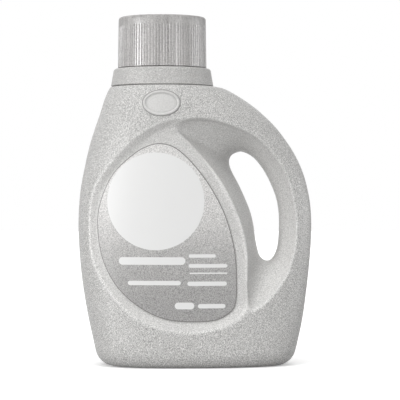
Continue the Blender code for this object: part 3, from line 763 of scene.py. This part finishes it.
def make_bottle(material):
    """Outer skin cut by the panels and the handle, rounded as blown plastic, then hollowed."""
    outer = body_loops(BODY_SEGMENTS, BODY_LEVELS)
    for height in (BODY_HEIGHT, BODY_HEIGHT + NECK_HEIGHT):
        outer.append(ring_at(NECK_RADIUS, height, BODY_SEGMENTS))
    bottle = closed_form('bottle_shell', outer, [material])
    panel = panel_loops(OUTLINE_STEPS, PANEL_RINGS)
    recess = recess_loops(OUTLINE_STEPS, RECESS_STEPS)
    tools = [closed_form('front_panel', panel, []),
             closed_form('back_panel', mirrored(panel), []),
             closed_form('handle_recess', recess, [])]
    cut(bottle, *tools)
    remesh = bottle.modifiers.new('round', 'REMESH')
    remesh.mode = 'VOXEL'
    remesh.voxel_size = SKIN_VOXEL
    remesh.use_smooth_shade = True
    smooth = bottle.modifiers.new('smooth', 'SMOOTH')
    smooth.factor = SKIN_SMOOTHING_SHARE
    smooth.iterations = SKIN_SMOOTHING
    apply_modifiers(bottle, *tools)

    inner = offset_loops(body_loops(INSIDE_SEGMENTS, INSIDE_LEVELS), -HIDDEN_WALL)
    inner[-1] = ring_at(SHOULDER_RADIUS - HIDDEN_WALL, BODY_HEIGHT - HIDDEN_WALL, INSIDE_SEGMENTS)
    for height in (BODY_HEIGHT - HIDDEN_WALL, BODY_HEIGHT + NECK_HEIGHT + OVERRUN):
        inner.append(ring_at(NECK_BORE, height, INSIDE_SEGMENTS))
    inside = closed_form('inside', inner, [material])
    panel = offset_loops(panel_loops(INSIDE_OUTLINE_STEPS, INSIDE_PANEL_RINGS), HIDDEN_WALL)
    recess = offset_loops(recess_loops(INSIDE_OUTLINE_STEPS, INSIDE_RECESS_STEPS), HIDDEN_WALL)
    tools = [closed_form('front_inside', panel, []),
             closed_form('back_inside', mirrored(panel), []),
             closed_form('handle_inside', recess, [])]
    cut(inside, *tools)
    apply_modifiers(inside, *tools)
    cut(bottle, inside)
    apply_modifiers(bottle, inside)
    bottle.data.shade_smooth()
    mark_relief(bottle)
    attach(bottle, 'bottle_body')
    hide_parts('bottle')


def make_label(film, keyline):
    """The film on the front panel, with a thin dark line round its edge."""
    edge = outline(LABEL_SHARES, OUTLINE_STEPS)
    middle = sum(edge, Vector()) / len(edge)
    inner = []
    for index, point in enumerate(edge):
        along = edge[(index + 1) % len(edge)] - edge[index - 1]
        inward = Vector((-along.z, 0, along.x)).normalized()
        if inward.dot(middle - point) < 0:
            inward = -inward
        inner.append(point + inward * KEYLINE)
    top, bottom = FIT + LABEL_THICKNESS, FIT
    loops = shrunk_loops(edge, bottom, LABEL_RINGS)[::-1]
    loops += [[on_panel(point, lift) for point in ring]
              for ring, lift in ((edge, bottom), (edge, top), (inner, top))]
    loops += shrunk_loops(inner, top, LABEL_RINGS)
    label = closed_form('label_film', loops, [film, keyline])
    use_second_material(label, LABEL_RINGS * len(edge), 2 * len(edge))
    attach(label, 'bottle_body')
    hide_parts('front_label')


def make_oval(material, line):
    """Plain oval moulded on the shoulder, with a raised rim and a dark line round it."""
    profile = [(-OVAL_LINE, -OVAL_ROOT), (-OVAL_LINE, OVAL_LINE_RISE), (0, OVAL_LINE_RISE)]
    profile += [(way_in * OVAL_RIM, rise * OVAL_RISE) for way_in, rise in OVAL_RIM_SHARES]
    loops = [oval_loop(OVAL_ACROSS - inset, OVAL_UP - inset, lift) for inset, lift in profile]
    inset = OVAL_FIELD_START_SHARE * OVAL_RIM
    loops += [oval_loop((OVAL_ACROSS - inset) * share, (OVAL_UP - inset) * share, OVAL_FIELD_RISE)
              for share in OVAL_FIELD_SHARES]
    oval = closed_form('shoulder_oval', loops, [material, line])
    use_second_material(oval, 0, 2 * OVAL_SEGMENTS)
    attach(oval, 'bottle_body')


def use_second_material(obj, first, count):
    """Gives the object's second material to a run of its faces."""
    for face in obj.data.polygons[first:first + count]:
        face.material_index = 1


def oval_loop(across, up, lift):
    """Oval on the body's front, lifted from it."""
    loop = []
    for index in range(OVAL_SEGMENTS):
        turn = 2 * math.pi * index / OVAL_SEGMENTS
        x = OVAL_X + across * math.cos(turn)
        z = OVAL_Z + up * math.sin(turn)
        loop.append(Vector((x, -half_depth(x, z) - lift, z)))
    return loop


def turned_loop(radius, height, shift=0, slope=0):
    """Circle round the neck axis at a height over the shoulder, shifted away from the handle
    and sloped along X."""
    loop = []
    for index in range(ROUND_SEGMENTS):
        turn = 2 * math.pi * index / ROUND_SEGMENTS
        x = radius * math.cos(turn) - shift
        loop.append(Vector((NECK_X + x, radius * math.sin(turn), BODY_HEIGHT + height - slope * x)))
    return loop


def corner(radius, height, rounding):
    """Profile points round an outer top corner, from its side to its top."""
    points = []
    for step in range(CORNER_STEPS + 1):
        turn = math.pi / 2 * step / CORNER_STEPS
        points.append((radius - rounding * (1 - math.cos(turn)),
                       height - rounding * (1 - math.sin(turn))))
    return points


def lip_profile(mouth):
    """Profile points of the spout's flared lip: up its outside and down its bore."""
    half_wall = SPOUT_WALL / 2
    middle = TUBE_RADIUS - half_wall
    outside = [(flare * LIP_FLARE, side * half_wall, mouth - drop * LIP_LENGTH - edge * half_wall)
               for flare, side, drop, edge in LIP_SHARES]
    return ([(middle + flare + side, height) for flare, side, height in outside]
            + [(middle + LIP_FLARE, mouth)]
            + [(middle + flare - side, height) for flare, side, height in outside[::-1]])


def make_spout(material):
    """Drain-back spout: collar, land, thread wall, sloping gutter and slanted tube."""
    skirt_bore = NECK_RADIUS + FIT
    plug_radius = NECK_BORE - FIT
    tube_bore = TUBE_RADIUS - SPOUT_WALL
    gutter = COLLAR_HEIGHT - GUTTER_DEPTH
    under_gutter = gutter - SPOUT_WALL
    mouth = COLLAR_HEIGHT + TUBE_RISE

    profile = [(skirt_bore, FIT), (COLLAR_FOOT_RADIUS - COLLAR_CHAMFER, FIT),
               (COLLAR_FOOT_RADIUS, FIT + COLLAR_CHAMFER)]
    profile += corner(COLLAR_TOP_RADIUS, COLLAR_HEIGHT, COLLAR_EDGE)
    profile += [(THREAD_BORE + COLLAR_CHAMFER, COLLAR_HEIGHT),
                (THREAD_BORE, COLLAR_HEIGHT - COLLAR_CHAMFER)]
    loops = [turned_loop(radius, height) for radius, height in profile]
    loops += [turned_loop(THREAD_BORE - way_in * GUTTER_FILLET, gutter + up * GUTTER_FILLET,
                          slope=GUTTER_SLOPE) for way_in, up in GUTTER_COVE_SHARES]
    loops += [turned_loop(TUBE_RADIUS + way_out * GUTTER_FILLET, gutter + up * GUTTER_FILLET,
                          TUBE_SHIFT, GUTTER_SLOPE) for way_out, up in TUBE_FOOT_SHARES]
    loops += [turned_loop(radius, height, TUBE_SHIFT, TUBE_SLANT)
              for radius, height in lip_profile(mouth)]
    loops.append(turned_loop(tube_bore, under_gutter, TUBE_SHIFT, GUTTER_SLOPE))
    loops.append(turned_loop(plug_radius, under_gutter, slope=GUTTER_SLOPE))
    loops += [turned_loop(radius, COLLAR_HEIGHT - COLLAR_LAND)
              for radius in (plug_radius, skirt_bore)]

    bm = bmesh.new()
    rows = skin(bm, loops)
    for index in range(ROUND_SEGMENTS):
        beside = (index + 1) % ROUND_SEGMENTS
        bm.faces.new((rows[-1][index], rows[-1][beside], rows[0][beside], rows[0][index]))
    spout = new_object('spout_fitment', bm, [material])

    tube_side = TUBE_RADIUS - TUBE_SHIFT
    start = NECK_X + tube_side - SPOUT_WALL - OVERRUN
    end = NECK_X + tube_side + LIP_FLARE + OVERRUN
    half = DRAIN_WIDTH / 2
    corners = ((start, -half), (end, -half), (end, half), (start, half))
    floor = BODY_HEIGHT + gutter - GUTTER_SLOPE * tube_side + FIT
    tool = closed_form('drain_slot', [[Vector((x, y, z)) for x, y in corners]
                                      for z in (floor, BODY_HEIGHT + mouth)], [])
    cut(spout, tool)
    apply_modifiers(spout, tool)
    spout.data.set_sharp_from_angle(angle=CRISP_ANGLE)
    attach(spout, 'bottle_body')
    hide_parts('pour_spout')
    thread = make_thread('spout_thread', THREAD_BORE, -1, SPOUT_THREAD_DROP, SPOUT_THREAD_START,
                         material)
    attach(thread, 'bottle_body')


def make_thread(name, radius, side, drop, start, material):
    """Helical ridge on the outer (1) or inner (-1) side of a wall, tapered at both ends."""
    root, crest = THREAD_WIDTH / 2, THREAD_CREST_SHARE * THREAD_WIDTH / 2
    bm = bmesh.new()
    rings = []
    for step in range(THREAD_STEPS + 1):
        share = step / THREAD_STEPS
        turn = 2 * math.pi * (start + share * THREAD_TURNS)
        height = COLLAR_TOP - drop - THREAD_PITCH * THREAD_TURNS * share
        rise = THREAD_HEIGHT * min(1, share / THREAD_FADE_SHARE, (1 - share) / THREAD_FADE_SHARE)
        ridge = ((-THREAD_ROOT, -root), (rise, -crest), (rise, crest), (-THREAD_ROOT, root))
        rings.append([bm.verts.new(round_neck(radius + side * out, turn, height + up))
                      for out, up in ridge])
    for low, high in zip(rings, rings[1:]):
        for index in range(len(low)):
            beside = (index + 1) % len(low)
            bm.faces.new((low[index], low[beside], high[beside], high[index]))
    bm.faces.new(rings[0])
    bm.faces.new(rings[-1])
    return new_object(name, bm, [material])


def cap_radius(height):
    """Radius of the cap's ribs at a height over the shoulder: the skirt narrows upwards."""
    return CAP_RADIUS - CAP_DRAFT * (height - COLLAR_HEIGHT) / CAP_HEIGHT


def rib_loop(height, depth):
    """Ring of the cap's skirt: broad ribs with narrow grooves between them."""
    loop = []
    count = RIB_COUNT * RIB_POINTS
    for index in range(count):
        turn = 2 * math.pi * index / count
        groove = (0.5 + 0.5 * math.cos(RIB_COUNT * turn)) ** RIB_SHARPNESS
        loop.append(round_neck(cap_radius(height) - depth * groove, turn, BODY_HEIGHT + height))
    return loop


def make_cap(material):
    """Dosing cap: ribbed skirt, dished top and the cup with its raised lines."""
    foot = COLLAR_HEIGHT + FIT
    top = COLLAR_HEIGHT + CAP_HEIGHT
    rib_top = top - CAP_BAND
    band_radius = cap_radius(top)
    skirt_bore = band_radius - RIB_DEPTH - CAP_WALL
    ceiling = top - CAP_TOP_THICKNESS
    mouth = COLLAR_HEIGHT - CUP_SKIRT
    cup_bore = CUP_RADIUS - CAP_WALL

    profile = [(TOP_MIDDLE, top - CAP_DISH), (band_radius * CAP_DISH_MIDDLE_SHARE, top - CAP_DISH)]
    profile += [(band_radius - way_in * CAP_EDGE, top - drop * CAP_DISH)
                for way_in, drop in CAP_DISH_SHARES]
    profile += corner(band_radius, top, CAP_EDGE)[::-1]
    loops = [turned_loop(radius, height) for radius, height in profile]
    loops += [rib_loop(rib_top - way_down * RIB_RUN_OUT, depth * RIB_DEPTH)
              for way_down, depth in RIB_RUN_OUT_SHARES]
    loops.append(rib_loop(foot + CUP_EDGE, RIB_DEPTH))

    profile = [(skirt_bore + CUP_EDGE * 2, foot), (skirt_bore, foot), (skirt_bore, ceiling),
               (CUP_RADIUS - CUP_DRAFT, ceiling), (CUP_RADIUS, COLLAR_HEIGHT),
               (CUP_RADIUS, mouth + CUP_EDGE), (CUP_RADIUS - CUP_EDGE, mouth),
               (cup_bore + CUP_EDGE, mouth), (cup_bore, mouth + CUP_EDGE)]
    for share in FILL_LINE_SHARES:
        height = mouth + (ceiling - mouth) * share
        bore = cup_bore - CUP_DRAFT * share
        profile += [(bore, height), (bore - FILL_LINE, height + FILL_LINE_WIDTH / 2),
                    (bore, height + FILL_LINE_WIDTH)]
    profile += corner(cup_bore - CUP_DRAFT, ceiling, CUP_FILLET)
    loops += [turned_loop(radius, height) for radius, height in profile]
    cap = closed_form('dosing_cap', loops, [material])
    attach(cap, 'cap_body')
    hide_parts('measuring_cap')
    thread = make_thread('cap_thread', CUP_RADIUS, 1, CAP_THREAD_DROP, CAP_THREAD_START, material)
    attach(thread, 'cap_body')


def seen_ray(tree):
    """1 for a ray from the camera, straight or by way of gloss or glass, otherwise 0."""
    path = tree.nodes.new('ShaderNodeLightPath')
    seen = path.outputs['Is Camera Ray']
    for output in ('Is Glossy Ray', 'Is Transmission Ray'):
        either = tree.nodes.new('ShaderNodeMath')
        either.operation = 'MAXIMUM'
        tree.links.new(seen, either.inputs[0])
        tree.links.new(path.outputs[output], either.inputs[1])
        seen = either.outputs[0]
    return seen


def pale_stage():
    """Pale floor, white to the camera and in reflections, as the world behind it is."""
    nodes = Nodes('pale_floor')
    seen = seen_ray(nodes.tree)
    nodes.link(nodes.mix(seen, FLOOR_SHADE, WHITE), nodes.shader.inputs['Base Color'])
    nodes.shader.inputs['Emission Color'].default_value = WHITE
    nodes.link(nodes.math('MULTIPLY', seen, FLOOR_GLOW), nodes.shader.inputs['Emission Strength'])
    nodes.shader.inputs['Roughness'].default_value = 1
    nodes.shader.inputs['Specular IOR Level'].default_value = 0
    bm = bmesh.new()
    bmesh.ops.create_grid(bm, x_segments=1, y_segments=1, size=FLOOR_REACH)
    floor = new_object('pale_floor', bm, [nodes.material])


def add_light(name, kind, power, place, direction):
    """Lamp of a kind at a place, which shines in a direction."""
    lamp = bpy.data.lights.new(name, kind)
    lamp.energy = power
    obj = bpy.data.objects.new(name, lamp)
    bpy.context.scene.collection.objects.link(obj)
    obj.location = place
    obj.rotation_euler = Vector(direction).to_track_quat('-Z', 'Y').to_euler()
    return obj


def light_scene():
    """Broad key from the front left, a light from above, a fill from behind, strips that
    show only as highlights, and an even world."""
    for name, direction, strength, spread in SUNS:
        sun = add_light(name, 'SUN', strength, (0, 0, 0), direction)
        sun.data.angle = spread
        sun.visible_glossy = False
    aim = Vector((NECK_X, 0, COLLAR_TOP))
    for name, place, size, power in STRIPS:
        strip = add_light(name, 'AREA', power, place, aim - Vector(place))
        strip.data.shape = 'RECTANGLE'
        strip.data.size, strip.data.size_y = size
        strip.visible_camera = False
        strip.visible_diffuse = False

    world = bpy.data.worlds.new('studio')
    bpy.context.scene.world = world
    world.use_nodes = True
    tree = world.node_tree
    strength = tree.nodes.new('ShaderNodeMix')
    strength.inputs['A'].default_value = WORLD_SHADE
    strength.inputs['B'].default_value = 1
    tree.links.new(seen_ray(tree), strength.inputs['Factor'])
    background = tree.nodes['Background']
    background.inputs['Color'].default_value = WHITE
    tree.links.new(strength.outputs['Result'], background.inputs['Strength'])


def set_camera():
    """Long lens level with the middle of the bottle, as the picture is drawn."""
    data = bpy.data.cameras.new('camera')
    data.lens = CAMERA_LENS
    data.sensor_width = CAMERA_SENSOR
    camera = bpy.data.objects.new('camera', data)
    bpy.context.scene.collection.objects.link(camera)
    camera.location = CAMERA_PLACE
    camera.rotation_euler = (math.pi / 2, 0, 0)
    bpy.context.scene.camera = camera


plastics = {name: moulded_plastic(name, **look) for name, look in PLASTICS.items()}
make_bottle(plastics['body_plastic'])
make_label(label_film(), plastics['keyline_ink'])
make_oval(plastics['oval_plastic'], plastics['dark_oval_line'])
make_spout(plastics['fitment_plastic'])
make_cap(plastics['cap_plastic'])
pale_stage()
light_scene()
set_camera()
bpy.context.scene.view_settings.view_transform = 'Standard'
